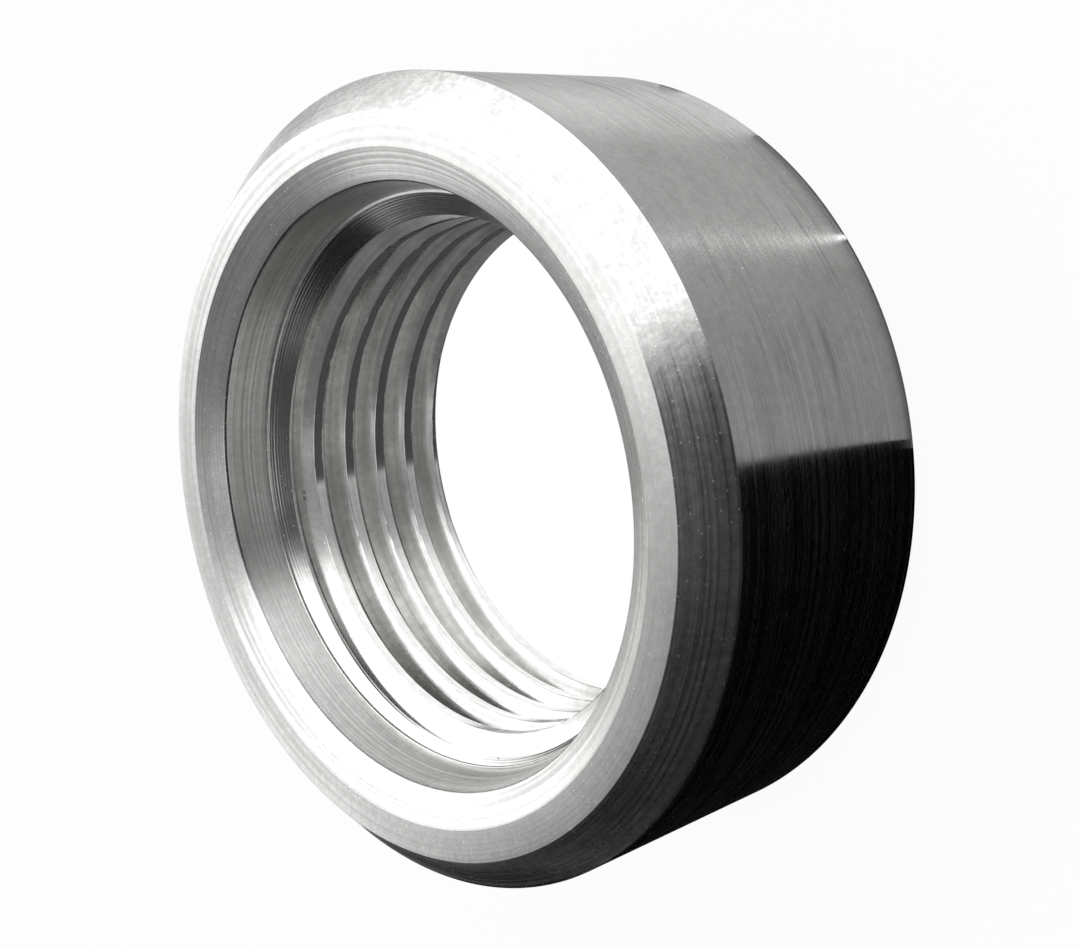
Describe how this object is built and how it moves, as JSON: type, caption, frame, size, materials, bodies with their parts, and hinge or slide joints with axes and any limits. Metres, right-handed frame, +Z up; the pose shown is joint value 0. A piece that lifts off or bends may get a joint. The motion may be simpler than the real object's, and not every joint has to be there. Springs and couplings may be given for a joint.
{
  "type": "weld bung",
  "caption": "Short threaded steel ring with a bevelled weld edge and an O-ring seat in its mouth, welded to a tank or pipe as a port.",
  "frame": {"origin": "centre of the plain back face, on which the ring stands", "axes": "+Z up along the axis of the ring, out of the mouth that has the weld bevel and the O-ring seat"},
  "size_m": [0.0382, 0.038, 0.0145],
  "materials": {
    "turned_steel": "bare turned steel with fine tool rings"
  },
  "bodies": {
    "root": {"weld_bung": "turned_steel"}
  },
  "joints": []
}
